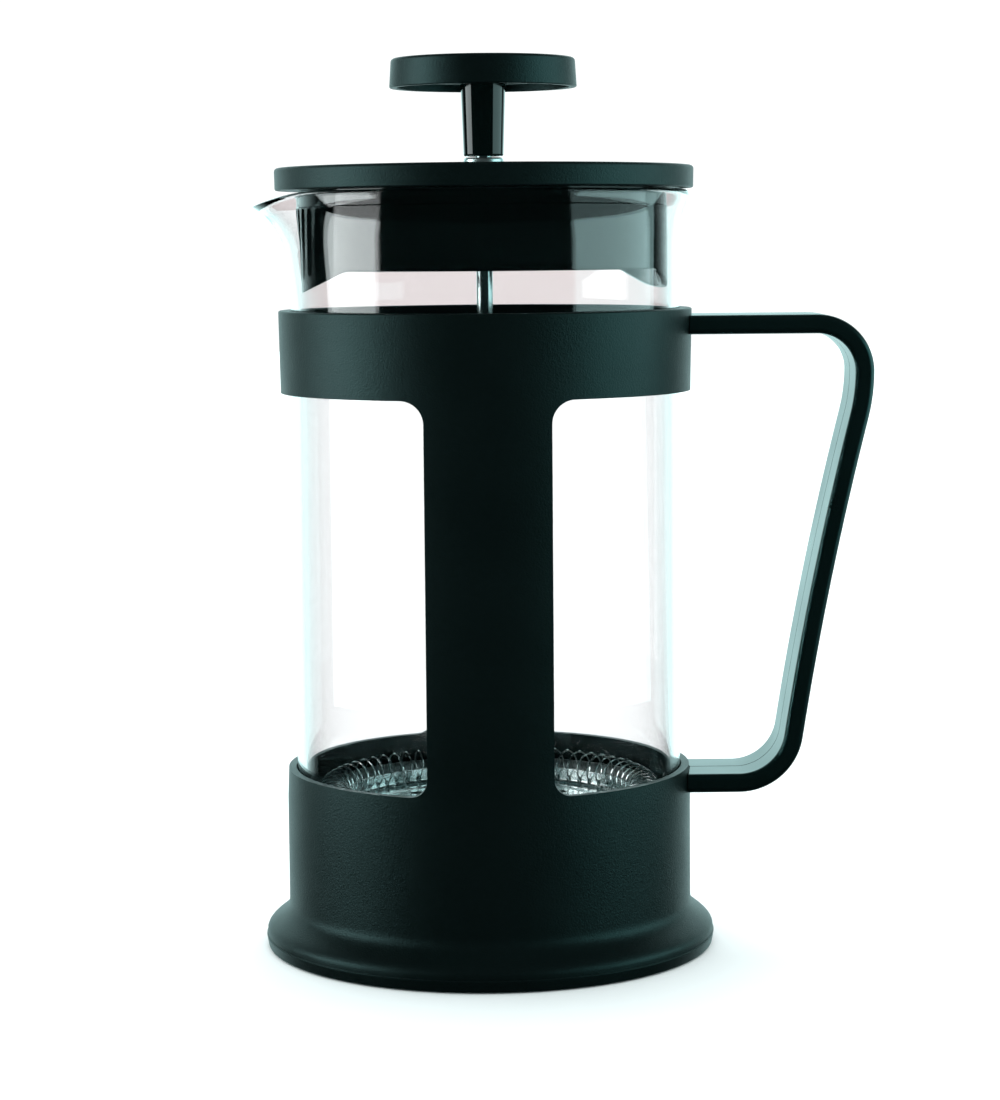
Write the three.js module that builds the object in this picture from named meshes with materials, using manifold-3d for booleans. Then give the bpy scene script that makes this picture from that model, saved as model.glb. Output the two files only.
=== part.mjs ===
// A one-litre french press with its plunger pressed down, in millimetres.
// +Z is up, the origin lies on the beaker's axis on the table, the spout points to -X and the handle to +X.
import * as THREE from "three";
import { mergeVertices } from "three/addons/utils/BufferGeometryUtils.js";
import Module from "manifold-3d";

// ---- driving dimensions ----
const ROUND = 48; // facets round a large circle
const SMALL_ROUND = 24; // facets round a small circle
const FINE_ROUND = 64; // facets round a circle whose edge slopes or is drawn out
const HOLE_ROUND = 8; // facets round a drain hole

const GAP = 0.3; // clearance between pieces that touch
const GLASS_R = 48;
const GLASS_WALL = 2.3;
const BORE_R = GLASS_R - GLASS_WALL;
const GLASS_BOTTOM = 5.5;
const GLASS_TOP = 187.6;

const FRAME_BORE_R = GLASS_R + GAP;
const FRAME_R = 50.5;
const BAND_R = 50.75; // at the band's lower edge
const FRAME_TOP_R = 51.1; // the band widens a little to its top
const FOOT_R = 56.4;
const FLOOR_BOTTOM = 3;
const FLOOR_TOP = GLASS_BOTTOM - GAP;
const CUP_TOP = 44.9;
const BAND_BOTTOM = 138.5;
const BAND_TOP = 158.7;
const STRUT_HALF = 15;

const HANDLE_WIDTH = 24;
const HANDLE_THICK = 4.7;
const HANDLE_EDGE = 1.6;
const UPPER_ARM_Z = 154.55;
const LOWER_ARM_Z = 40.65;
const HANDLE_START_X = 46;
const TENON_HALF_WIDTH = 9; // the tongue of each arm that goes through the frame's wall
const TENON_HALF_HEIGHT = 1.4;

const LID_R = 51.6;
const LID_BOTTOM = 188;
const LID_TOP = 193.5;
const LID_PLATE = 2.7;
const SKIRT_R = 45.2;
const SKIRT_WALL = 1.8;
const SKIRT_BOTTOM = 168.4;
const LID_TURN = 6; // how far the lid is turned from the spout, anticlockwise from above, in degrees
const SKIRT_TOP = LID_TOP - LID_PLATE - GAP;

const ROD_R = 2;
const ROD_BOTTOM = 26;
const ROD_TOP = 209.5;
const STEM_BOTTOM = 196.1;
const STEM_BORE_TOP = 210.5;
const INSERT_R = 3.6;
const KNOB_BOTTOM = 212.8;
const KNOB_TOP = 220;
const KNOB_R = 23.05;
const KNOB_PLATE = 2.6;

const COIL_RING_R = 39.5; // radius of the circle that the spring's middle follows
const COIL_Z = 38;
const COIL_R = 4.2;
const DISH_Z = 33.3; // underside of the spiral plate
const SHEET = 0.6; // thickness of the stamped dish
const CLOTH = 0.5; // thickness of the wire cloth
const CLOTH_R = COIL_R + 1.5; // radius of its turned-up edge, about the spring's middle
const CROSS_SHEET = 0.8;
const CROSS_TOP = COIL_Z - CLOTH_R - GAP;

// ---- helpers ----
const wasm = await Module();
wasm.setup();

const radians = (degrees) => (degrees * Math.PI) / 180;

// A closed geometry as a manifold-3d solid.
function solid(geometry) {
  const bare = geometry.clone();
  bare.deleteAttribute("normal");
  bare.deleteAttribute("uv");
  const merged = mergeVertices(bare, 1e-4);
  const vertProperties = merged.attributes.position.array;
  const triVerts = new Uint32Array(merged.index.array);
  return new wasm.Manifold(new wasm.Mesh({ numProp: 3, vertProperties, triVerts }));
}

// A manifold-3d solid back as a geometry.
function geometryOf(made) {
  const mesh = made.getMesh();
  const geometry = new THREE.BufferGeometry();
  geometry.setAttribute("position", new THREE.BufferAttribute(mesh.vertProperties, 3));
  geometry.setIndex(new THREE.BufferAttribute(mesh.triVerts, 1));
  geometry.computeVertexNormals();
  return geometry;
}

// Turns a [radius, height] outline about Z. The outline runs outwards at the bottom and inwards at the top.
function turned(outline, facets = ROUND) {
  const points = outline.map(([r, z]) => new THREE.Vector2(r, z));
  return new THREE.LatheGeometry(points, facets).rotateX(Math.PI / 2);
}

// A ring-shaped outline turned about Z: the last point joins the first.
function turnedRing(outline, facets = ROUND) {
  return turned([...outline, outline[0]], facets);
}

// A plain cylinder about Z, used as a cutter or a spacer.
function post(radius, bottom, top, facets = ROUND) {
  return turned([[0, bottom], [radius, bottom], [radius, top], [0, top]], facets);
}

// A tube about Z.
function sleeve(inner, outer, bottom, top, facets = SMALL_ROUND) {
  return turnedRing([[inner, bottom], [outer, bottom], [outer, top], [inner, top]], facets);
}

// A hexagon nut about Z with a round bore.
function hexNut(bore, acrossFlats, bottom, top) {
  const ring = (radius, sides) =>
    arc(0, 0, radius, 0, 360 - 360 / sides, sides - 1).map(([x, y]) => new THREE.Vector2(x, y));
  const shape = new THREE.Shape(ring(acrossFlats / Math.sqrt(3), 6));
  shape.holes.push(new THREE.Path(ring(bore, SMALL_ROUND)));
  const geometry = new THREE.ExtrudeGeometry(shape, { depth: top - bottom, bevelEnabled: false });
  return geometry.translate(0, 0, bottom);
}

function box(x0, x1, y0, y1, z0, z1) {
  const geometry = new THREE.BoxGeometry(x1 - x0, y1 - y0, z1 - z0);
  return geometry.translate((x0 + x1) / 2, (y0 + y1) / 2, (z0 + z1) / 2);
}

// A shape drawn in X and Z, extruded to both sides of the plane y = 0.
function slab(shape, depth, options = {}) {
  const geometry = new THREE.ExtrudeGeometry(shape, { depth, bevelEnabled: false, ...options });
  return geometry.rotateX(Math.PI / 2).translate(0, depth / 2, 0);
}

// Points of an arc in the outline plane, both ends included.
function arc(cx, cz, radius, from, to, steps) {
  return Array.from({ length: steps + 1 }, (_, i) => {
    const angle = radians(from + ((to - from) * i) / steps);
    return [cx + radius * Math.cos(angle), cz + radius * Math.sin(angle)];
  });
}

// A smooth 1-to-0 fade as t goes from 0 to 1.
function fade(t) {
  return 0.5 + 0.5 * Math.cos(Math.PI * Math.min(Math.max(t, 0), 1));
}

// Angle in degrees between a point's direction from the axis and -X, the spout's side.
function fromSpout(x, y) {
  return Math.abs((Math.atan2(y, -x) * 180) / Math.PI);
}

// Round holes on a circle about Z, as cutters that pass through a plate.
function holeCircle(count, circleR, holeR, bottom, top) {
  return Array.from({ length: count }, (_, i) => {
    const angle = radians((360 * i) / count);
    const hole = post(holeR, bottom, top, HOLE_ROUND);
    return hole.translate(circleR * Math.cos(angle), circleR * Math.sin(angle), 0);
  });
}

// ---- frame and handle ----

// Outline radius of the foot, a soft S from its shoulder up to the cup's side.
function flareR(z) {
  const [shoulder, flareTop] = [4.2, 10.2];
  return FRAME_R + (FOOT_R - FRAME_R) * fade((z - shoulder) / (flareTop - shoulder));
}

// The opening between the two struts on one side, drawn from the front and cut right through.
function windowCutter(side) {
  const [top, bottom, outside] = [5.5, 4.2, 70];
  const shape = new THREE.Shape();
  shape.moveTo(side * outside, CUP_TOP);
  shape.lineTo(side * (STRUT_HALF + bottom), CUP_TOP);
  for (const [x, z] of arc(STRUT_HALF + bottom, CUP_TOP + bottom, bottom, 270, 180, 4)) {
    shape.lineTo(side * x, z);
  }
  for (const [x, z] of arc(STRUT_HALF + top, BAND_BOTTOM - top, top, 180, 90, 4)) {
    shape.lineTo(side * x, z);
  }
  shape.lineTo(side * outside, BAND_BOTTOM);
  return slab(shape, 2 * outside);
}

// A flat block about the plane y = 0 that passes through the frame's wall towards the handle.
function throughWall(z, halfWidth, halfHeight) {
  const past = 3;
  return box(FRAME_BORE_R - past, FRAME_TOP_R + past, -halfWidth, halfWidth, z - halfHeight, z + halfHeight);
}

function makeFrame() {
  const [footInnerR, padR, ribHalf, ribs, sunk] = [53.7, 12, 0.8, 6, 0.5];
  const flare = [0.5, 4.2, 5.4, 6.6, 7.8, 9, 10.2].map((z) => [flareR(z), z]);
  let body = solid(
    turned([
      [0, 0],
      [padR, 0],
      [padR, FLOOR_BOTTOM],
      [footInnerR, FLOOR_BOTTOM],
      [footInnerR, 0],
      [FOOT_R - 0.5, 0],
      ...flare,
      [FRAME_R, 38],
      [FRAME_R - 0.3, CUP_TOP],
      [BAND_R, BAND_BOTTOM],
      [FRAME_TOP_R, BAND_TOP - 0.5],
      [FRAME_TOP_R - 0.5, BAND_TOP],
      [FRAME_BORE_R + 0.4, BAND_TOP],
      [FRAME_BORE_R, BAND_TOP - 0.4],
      [FRAME_BORE_R, FLOOR_TOP + 1.5],
      [FRAME_BORE_R - 1.5, FLOOR_TOP],
      [0, FLOOR_TOP],
    ]),
  );
  for (let i = 0; i < ribs; i++) {
    const rib = box(padR - sunk, footInnerR + sunk, -ribHalf, ribHalf, 0, FLOOR_BOTTOM + sunk);
    body = body.add(solid(rib.rotateZ(radians(30 + (360 * i) / ribs))));
  }
  for (const side of [-1, 1]) body = body.subtract(solid(windowCutter(side)));
  for (const z of [UPPER_ARM_Z, LOWER_ARM_Z]) {
    body = body.subtract(solid(throughWall(z, TENON_HALF_WIDTH + GAP, TENON_HALF_HEIGHT + GAP)));
  }
  return geometryOf(body);
}

// Stations along the middle of the bow: where it is and which way it heads, turning clockwise from +X.
function handleStations() {
  const moves = [
    { run: 35.15 },
    { turn: 90, radius: 11.75, steps: 8 },
    { turn: 14, radius: 45, steps: 2 },
    { turn: -5.2, radius: 893, steps: 4 },
    { turn: 81.2, radius: 13.65, steps: 7 },
    { run: 16.5 },
  ];
  let [x, z, heading] = [HANDLE_START_X, UPPER_ARM_Z, 0];
  const stations = [{ x, z, heading }];
  for (const { run, turn = 0, radius = 0, steps = 1 } of moves) {
    for (let i = 0; i < steps; i++) {
      const half = radians(turn / steps / 2);
      const length = run ?? 2 * radius * Math.sin(Math.abs(half));
      heading -= half;
      x += length * Math.cos(heading);
      z += length * Math.sin(heading);
      heading -= half;
      stations.push({ x, z, heading });
    }
  }
  return stations;
}

function makeHandle() {
  const stations = handleStations();
  const edge = (side) =>
    stations.map(({ x, z, heading }) => {
      const offset = (side * HANDLE_THICK) / 2;
      return new THREE.Vector2(x - offset * Math.sin(heading), z + offset * Math.cos(heading));
    });
  const shape = new THREE.Shape([...edge(1), ...edge(-1).reverse()]);
  const bevel = {
    bevelEnabled: true,
    bevelThickness: HANDLE_EDGE,
    bevelSize: HANDLE_EDGE,
    bevelOffset: -HANDLE_EDGE,
    bevelSegments: 3,
  };
  let body = solid(slab(shape, HANDLE_WIDTH - 2 * HANDLE_EDGE, bevel));
  // The arms end on the outside of the cup and of the band.
  body = body.subtract(solid(post(FRAME_R + GAP, 0, BAND_BOTTOM)));
  body = body.subtract(solid(post(FRAME_TOP_R + GAP, BAND_BOTTOM, GLASS_TOP)));
  const inside = solid(post(FRAME_BORE_R + GAP, 0, GLASS_TOP));
  for (const z of [UPPER_ARM_Z, LOWER_ARM_Z]) {
    const tenon = solid(throughWall(z, TENON_HALF_WIDTH, TENON_HALF_HEIGHT));
    body = body.add(tenon.subtract(inside));
  }
  return geometryOf(body);
}

// ---- beaker ----

// The spout: the flared rim is pulled out and down towards -X. Facets gather there.
function makeBeaker() {
  const heel = 5;
  const outline = [
    [0, GLASS_BOTTOM + 0.8],
    [38, GLASS_BOTTOM + 0.4],
    ...arc(GLASS_R - heel, GLASS_BOTTOM + heel, heel, 270, 360, 3),
    [GLASS_R, 172],
    [GLASS_R + 0.1, 177.7],
    [GLASS_R + 0.4, 181.5],
    [GLASS_R + 1.1, 184.8],
    [GLASS_R + 2.5, 187],
    [GLASS_R + 2.1, GLASS_TOP],
    [GLASS_R + 0.7, 187.3],
    [GLASS_R - 0.9, 185.4],
    [BORE_R + 0.5, 182],
    [BORE_R, 177],
    [BORE_R, 172],
    ...arc(BORE_R - heel + 1, GLASS_BOTTOM + heel + 1.6, heel - 1, 0, -90, 3),
    [0, GLASS_BOTTOM + 3],
  ];
  const geometry = turned(outline, FINE_ROUND);
  const place = geometry.attributes.position;
  const [reach, drop, spread, rootZ] = [6.4, 3.3, 42, 174]; // the spout's, with spread in degrees
  for (let i = 0; i < place.count; i++) {
    const r = Math.hypot(place.getX(i), place.getY(i));
    const even = Math.atan2(place.getY(i), place.getX(i));
    const angle = even + 0.5 * Math.sin(even);
    const [x, y, z] = [Math.cos(angle), Math.sin(angle), place.getZ(i)];
    const side = fade(fromSpout(x, y) / spread) ** 1.7;
    const rise = Math.max(0, (z - rootZ) / (GLASS_TOP - rootZ));
    const pulled = r + reach * side * rise ** 1.1;
    place.setXYZ(i, pulled * x, pulled * y, z - drop * side * rise ** 3);
  }
  return geometryOf(solid(geometry));
}

// ---- lid ----

function makeLidCover() {
  const [seatInner, hubInner, hubOuter, hubBottom] = [SKIRT_R + 0.4, 4.3, 8.5, 178];
  const plateBottom = LID_TOP - LID_PLATE;
  return turnedRing([
    [hubInner, hubBottom],
    [hubOuter, hubBottom],
    [hubOuter, plateBottom],
    [35, plateBottom],
    [35, 186.6],
    [36.8, 186.6],
    [38.6, 187.4],
    [38.6, 188.4],
    [37.2, 188.7],
    [37.2, plateBottom],
    [seatInner, plateBottom],
    [seatInner, LID_BOTTOM],
    [LID_R - 0.6, LID_BOTTOM],
    [LID_R, LID_BOTTOM + 0.6],
    [LID_R, LID_TOP - 1],
    [LID_R - 0.3, LID_TOP - 0.3],
    [LID_R - 1, LID_TOP],
    [hubInner, LID_TOP],
  ]);
}

// Height of the skirt's lower edge: level, and cut on a slope towards both ends into two tongues.
function skirtEdge(x) {
  const [spoutStart, spoutSlope, handleStart, handleSlope, deepest] = [35.8, 0.6, 37.4, 0.75, 5];
  if (x < -spoutStart) return SKIRT_BOTTOM + spoutSlope * (x + spoutStart);
  if (x > handleStart) return SKIRT_BOTTOM - Math.min(handleSlope * (x - handleStart), deepest);
  return SKIRT_BOTTOM;
}

// One strainer slot: a long hole with round ends, pointing out to -X before it is turned to its place.
function strainerSlot(angle) {
  const [half, top, land] = [1.5, 184, 3];
  const bottom = skirtEdge(-SKIRT_R * Math.cos(radians(angle))) + land;
  const outline = [...arc(0, top - half, half, 0, 180, 4), ...arc(0, bottom + half, half, 180, 360, 4)];
  const shape = new THREE.Shape(outline.map(([y, z]) => new THREE.Vector2(y, z)));
  const cutter = slab(shape, 8).rotateZ(Math.PI / 2);
  return cutter.translate(-SKIRT_R + SKIRT_WALL / 2, 0, 0).rotateZ(radians(angle));
}

function makeLidSkirt() {
  const [inner, flangeInner, flangeBottom] = [SKIRT_R - SKIRT_WALL, 37.6, 189];
  const outline = [
    [inner, SKIRT_BOTTOM],
    [SKIRT_R, SKIRT_BOTTOM],
    [SKIRT_R, SKIRT_TOP],
    [flangeInner, SKIRT_TOP],
    [flangeInner, flangeBottom],
    [inner, flangeBottom],
  ];
  const geometry = turnedRing(outline, FINE_ROUND);
  const place = geometry.attributes.position;
  for (let i = 0; i < place.count; i++) {
    if (place.getZ(i) < SKIRT_BOTTOM + 1) place.setZ(i, skirtEdge(place.getX(i)));
  }
  let body = solid(geometry);
  const [slotsEachSide, slotPitch] = [4, 6]; // pitch in degrees
  for (let i = -slotsEachSide; i <= slotsEachSide; i++) {
    body = body.subtract(solid(strainerSlot(i * slotPitch)));
  }
  return geometryOf(body).rotateZ(radians(LID_TURN));
}

function makeLidBush() {
  const [bore, outer, flange, bottom] = [ROD_R + 0.15, 4, 4.9, 177];
  const top = STEM_BOTTOM - GAP;
  return turnedRing(
    [
      [bore, bottom],
      [outer, bottom],
      [outer, LID_TOP + GAP],
      [flange, LID_TOP + GAP],
      [flange, top - 0.5],
      [flange - 0.5, top],
      [bore, top],
    ],
    SMALL_ROUND,
  );
}

// ---- knob, stem and rod ----

function makeKnobCap() {
  const [rim, ringInner, ringOuter] = [1.8, 15, 17];
  const plateBottom = KNOB_TOP - KNOB_PLATE;
  return turned([
    [0, plateBottom],
    [ringInner, plateBottom],
    [ringInner, KNOB_BOTTOM + 1.6],
    [ringOuter, KNOB_BOTTOM + 1.6],
    [ringOuter, plateBottom],
    [KNOB_R - rim, plateBottom],
    [KNOB_R - rim, KNOB_BOTTOM],
    [KNOB_R - 0.3, KNOB_BOTTOM],
    [KNOB_R, KNOB_BOTTOM + 0.4],
    [KNOB_R - 0.4, KNOB_TOP - 1.6],
    [KNOB_R - 0.9, KNOB_TOP - 0.5],
    [KNOB_R - 2, KNOB_TOP],
    [0, KNOB_TOP],
  ]);
}

function makeKnobStem() {
  const [bore, flangeR, flange] = [INSERT_R + GAP, 14.5, 2];
  const flangeTop = KNOB_TOP - KNOB_PLATE - GAP;
  return turned(
    [
      [0, STEM_BORE_TOP],
      [bore, STEM_BORE_TOP],
      [bore, STEM_BOTTOM],
      [4.6, STEM_BOTTOM],
      [4.92, STEM_BOTTOM + 0.6],
      [5.45, KNOB_BOTTOM - 0.5],
      [6.6, flangeTop - flange],
      [flangeR, flangeTop - flange],
      [flangeR, flangeTop],
      [0, flangeTop],
    ],
    SMALL_ROUND,
  );
}

const makeKnobInsert = () => sleeve(ROD_R + GAP, INSERT_R, STEM_BOTTOM + 0.5, STEM_BORE_TOP - 0.4);

function makeRod() {
  return turned(
    [
      [0, ROD_BOTTOM],
      [ROD_R - 0.5, ROD_BOTTOM],
      [ROD_R, ROD_BOTTOM + 0.5],
      [ROD_R, ROD_TOP - 0.5],
      [ROD_R - 0.5, ROD_TOP],
      [0, ROD_TOP],
    ],
    SMALL_ROUND,
  );
}

function makeRodNut() {
  const [bottom, acrossFlats, height] = [DISH_Z + SHEET + GAP, 8, 2.6];
  return hexNut(ROD_R + GAP, acrossFlats, bottom, bottom + height);
}

// ---- filter pack ----

// The dish that carries the spring: a flat floor with drain holes and an upturned rim.
function makeSpiralPlate() {
  const [floorR, rimR, rimTop] = [34.6, 37.5, 37.7];
  const top = DISH_Z + SHEET;
  let body = solid(
    turnedRing([
      [ROD_R + GAP, DISH_Z],
      [floorR + 0.3, DISH_Z],
      [rimR - 0.8, DISH_Z + 0.6],
      [rimR, DISH_Z + 1.9],
      [rimR, rimTop],
      [rimR - SHEET, rimTop],
      [rimR - SHEET, DISH_Z + 2.2],
      [rimR - 1.3, DISH_Z + 1.1],
      [floorR, top],
      [ROD_R + GAP, top],
    ]),
  );
  for (const [count, circleR, holeR] of [[8, 14, 2], [16, 26, 2]]) {
    const holes = holeCircle(count, circleR, holeR, DISH_Z - 1, top + 1);
    for (const hole of holes) body = body.subtract(solid(hole));
  }
  return geometryOf(body);
}

// The room that the closed coil of wire takes up, open below where the dish's rim stands between its turns.
function makeCoilSpring() {
  const [mouth, mouthHalf, wall] = [-129, 18, 0.8];
  const from = mouth + mouthHalf;
  const to = mouth + 360 - mouthHalf;
  const outer = arc(COIL_RING_R, COIL_Z, COIL_R, from, to, 9);
  const inner = arc(COIL_RING_R, COIL_Z, COIL_R - wall, to, from, 6);
  return turnedRing([...outer, ...inner]);
}

// Fine wire cloth: flat in the middle, and turned up round the spring until it meets the glass.
function makeMeshFilter() {
  const [inner, outer] = [CLOTH_R - CLOTH, CLOTH_R];
  return turnedRing([
    [ROD_R + GAP, COIL_Z - outer],
    ...arc(COIL_RING_R, COIL_Z, outer, -90, 0, 5),
    ...arc(COIL_RING_R, COIL_Z, inner, 0, -90, 5),
    [ROD_R + GAP, COIL_Z - inner],
  ]);
}

// The lower plate, with large holes, that clamps the cloth against the dish.
function makeCrossPlate() {
  const [top, rimR, rimDrop, thick] = [CROSS_TOP, 36.8, 2.4, CROSS_SHEET];
  let body = solid(
    turnedRing([
      [ROD_R + GAP, top - thick],
      [rimR - thick, top - thick],
      [rimR - thick, top - rimDrop],
      [rimR, top - rimDrop],
      [rimR, top],
      [ROD_R + GAP, top],
    ]),
  );
  for (const [count, circleR, holeR] of [[6, 13, 4], [10, 26, 5]]) {
    const holes = holeCircle(count, circleR, holeR, top - 5, top + 2);
    for (const hole of holes) body = body.subtract(solid(hole));
  }
  return geometryOf(body);
}

const makePlungerNut = () => hexNut(ROD_R + GAP, 9, ROD_BOTTOM + 1, CROSS_TOP - CROSS_SHEET - GAP);

// ---- assembly ----

const plastic = (color, roughness) => ({ color, roughness, metalness: 0 });
const metal = (color, roughness) => ({ color, roughness, metalness: 1 });
const MATTE_BLACK = plastic(0x16211f, 0.6);
const SATIN_BLACK = plastic(0x0c1413, 0.35);
const GLOSS_BLACK = plastic(0x080d0c, 0.1);
const STEEL = metal(0xb9c2c2, 0.25);
const GLASS = { color: 0xe6f2ef, roughness: 0.02, metalness: 0, transparent: true, opacity: 0.3 };

const pieces = [
  ["frame", makeFrame, MATTE_BLACK],
  ["handle", makeHandle, SATIN_BLACK],
  ["beaker", makeBeaker, GLASS],
  ["lid_cover", makeLidCover, MATTE_BLACK],
  ["lid_skirt", makeLidSkirt, GLOSS_BLACK],
  ["lid_bush", makeLidBush, STEEL],
  ["knob_cap", makeKnobCap, MATTE_BLACK],
  ["knob_stem", makeKnobStem, GLOSS_BLACK],
  ["knob_insert", makeKnobInsert, metal(0xb08d4f, 0.3)],
  ["plunger_rod", makeRod, STEEL],
  ["rod_stop_nut", makeRodNut, STEEL],
  ["spiral_plate", makeSpiralPlate, STEEL],
  ["coil_spring", makeCoilSpring, STEEL],
  ["mesh_filter", makeMeshFilter, metal(0x9aa3a3, 0.45)],
  ["cross_plate", makeCrossPlate, STEEL],
  ["plunger_nut", makePlungerNut, STEEL],
];

const press = new THREE.Group();
press.name = "french_press";
for (const [name, make, finish] of pieces) {
  const mesh = new THREE.Mesh(make(), new THREE.MeshStandardMaterial(finish));
  mesh.name = name;
  press.add(mesh);
}

export default press;
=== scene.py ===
"""Looks of a one-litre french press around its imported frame.

Lengths are in millimetres until a mesh is made. Angles in constants and arguments are in degrees.
"""

import math

import bmesh
import bpy
from mathutils import Matrix, Vector


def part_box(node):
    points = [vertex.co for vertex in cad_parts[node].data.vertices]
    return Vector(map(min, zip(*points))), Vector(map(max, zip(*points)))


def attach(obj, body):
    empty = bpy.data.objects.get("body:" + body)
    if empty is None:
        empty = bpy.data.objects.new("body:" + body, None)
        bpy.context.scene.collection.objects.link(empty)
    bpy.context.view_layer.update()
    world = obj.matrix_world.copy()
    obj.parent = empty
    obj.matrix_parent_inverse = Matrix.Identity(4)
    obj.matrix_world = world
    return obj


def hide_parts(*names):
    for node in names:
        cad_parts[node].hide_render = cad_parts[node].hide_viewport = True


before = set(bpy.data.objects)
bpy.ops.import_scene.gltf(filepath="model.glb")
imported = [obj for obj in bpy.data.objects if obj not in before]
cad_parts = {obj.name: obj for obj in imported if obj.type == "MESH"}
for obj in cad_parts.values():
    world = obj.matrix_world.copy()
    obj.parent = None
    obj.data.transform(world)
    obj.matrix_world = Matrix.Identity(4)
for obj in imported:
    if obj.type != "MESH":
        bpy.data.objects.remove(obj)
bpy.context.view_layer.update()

MM = 0.001
ROUND = 234  # facets round a large circle, so that no facet edge falls on a strut's side
SMALL_ROUND = 96


def low(node):
    return Vector(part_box(node)[0]) / MM


def high(node):
    return Vector(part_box(node)[1]) / MM


# ---- levels and radii from the frame, and the ones that its boxes don't give ----

BAND_TOP = high("frame").z
FOOT_R = high("frame").y
GLASS_BOTTOM, GLASS_TOP = low("beaker").z, high("beaker").z
RIM_R = high("beaker").x
GLASS_R = RIM_R - 2.5
LID_R = high("lid_cover").x
LID_TOP = high("lid_cover").z
SKIRT_R = 45.2
LID_TURN = 6  # how far the lid is turned from the spout, anticlockwise from above
SKIRT_TOP = high("lid_skirt").z
KNOB_R = high("knob_cap").x
KNOB_BOTTOM, KNOB_TOP = low("knob_cap").z, high("knob_cap").z
STEM_BOTTOM, STEM_TOP = low("knob_stem").z, high("knob_stem").z
DISH_Z = low("spiral_plate").z
DISH_TOP = high("spiral_plate").z
DISH_R = high("spiral_plate").x
CROSS_TOP = high("cross_plate").z

GAP = 0.3
FRAME_R = 50.5
BAND_R = 50.75  # at the band's lower edge
BAND_TOP_R = 51.1
FRAME_BORE_R = GLASS_R + GAP
CUP_TOP = 44.9
BAND_BOTTOM = 138.5
STRUT_HALF = 15
GLASS_WALL = 2.3
BORE_R = GLASS_R - GLASS_WALL
LID_BOTTOM = 188
SKIRT_BOTTOM = 168.4
COIL_RING_R = 39.5
COIL_Z = 38
COIL_R = 4.2
COIL_TURNS = 66
MOUTH_ANGLE = -129  # where on a turn the wire passes through the dish's rim
SHEET = 0.6  # thickness of the stamped dish
ROD_R = 2
ROD_BORE_R = 2.3  # the bore of each piece that the rod goes through
HANDLE_HALF_THICK = 2.35
SMOOTH_BELOW = 32  # faces that meet at less than this are shaded as one surface


# ---- outlines ----


def arc(cx, cz, radius, start, end, steps):
    """Points of an arc, both ends included."""
    angles = [math.radians(start + (end - start) * i / steps) for i in range(steps + 1)]
    return [(cx + radius * math.cos(a), cz + radius * math.sin(a)) for a in angles]


def fade(t):
    """A smooth 1-to-0 fade as t goes from 0 to 1."""
    return 0.5 + 0.5 * math.cos(math.pi * min(max(t, 0), 1))


def softened(corners, closed=True):
    """An outline with rounded corners. A corner is (r, z) or (r, z, radius of its rounding)."""
    points = []
    count = len(corners)
    for i, corner in enumerate(corners):
        here = Vector(corner[:2])
        radius = corner[2] if len(corner) > 2 else 0
        if radius == 0 or (not closed and i in (0, count - 1)):
            points.append(tuple(here))
            continue
        back = (Vector(corners[i - 1][:2]) - here).normalized()
        ahead = (Vector(corners[(i + 1) % count][:2]) - here).normalized()
        opening = back.angle(ahead)
        reach = radius / math.tan(opening / 2)
        start, end = here + back * reach, here + ahead * reach
        steps = max(2, math.ceil(math.degrees(math.pi - opening) / 15))
        centre = here + (back + ahead).normalized() * radius / math.sin(opening / 2)
        turn = (start - centre).angle_signed(end - centre)
        for k in range(steps + 1):
            swung = Matrix.Rotation(-turn * k / steps, 2) @ (start - centre)
            points.append(tuple(centre + swung))
    return points


# ---- meshes ----


def turned(outline, facets=ROUND, closed=True, reshape=None):
    """An outline turned about Z, as (points, faces). An open outline starts and ends on the axis."""
    points, columns = [], []
    for i in range(facets):
        angle = 2 * math.pi * i / facets
        column = []
        for r, z in outline:
            if r < 1e-6 and i > 0:
                column.append(columns[0][len(column)])
                continue
            point = (r * math.sin(angle), r * math.cos(angle), z)
            points.append(reshape(*point) if reshape else point)
            column.append(len(points) - 1)
        columns.append(column)
    rows = len(outline)
    faces = []
    for i in range(facets):
        a, b = columns[i], columns[(i + 1) % facets]
        for j in range(rows if closed else rows - 1):
            k = (j + 1) % rows
            face = [a[j], a[k], b[k], b[j]]
            face = list(dict.fromkeys(face))
            if len(face) > 2:
                faces.append(face)
    return points, faces


def prism(outline, place):
    """A closed outline as a prism: place(u, v, end) gives the point at end 0 or 1."""
    count = len(outline)
    points = [place(u, v, end) for end in (0, 1) for u, v in outline]
    faces = [list(range(count)), list(range(2 * count - 1, count - 1, -1))]
    for i in range(count):
        k = (i + 1) % count
        faces.append([k, i, count + i, count + k])
    return points, faces


def swept(section, stations):
    """A closed section carried along stations. A station maps the section's (u, v) to a point."""
    count = len(section)
    points = [station(u, v) for station in stations for u, v in section]
    last = (len(stations) - 1) * count
    faces = [list(range(count - 1, -1, -1)), list(range(last, last + count))]
    for s in range(len(stations) - 1):
        for i in range(count):
            k = (i + 1) % count
            a, b = s * count, (s + 1) * count
            faces.append([a + i, a + k, b + k, b + i])
    return points, faces


def mesh_object(name, shape):
    """An object made of (points, faces), in metres from here on."""
    points, faces = shape
    mesh = bpy.data.meshes.new(name)
    mesh.from_pydata([Vector(p) * MM for p in points], [], faces)
    made = bpy.data.objects.new(name, mesh)
    bpy.context.scene.collection.objects.link(made)
    outward(made)
    return made


def outward(made):
    """Turns the faces of a closed mesh outwards."""
    work = bmesh.new()
    work.from_mesh(made.data)
    bmesh.ops.recalc_face_normals(work, faces=work.faces)
    work.to_mesh(made.data)
    work.free()


def settle(made):
    """Applies an object's modifiers."""
    graph = bpy.context.evaluated_depsgraph_get()
    mesh = bpy.data.meshes.new_from_object(made.evaluated_get(graph))
    made.modifiers.clear()
    made.data = mesh


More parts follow.
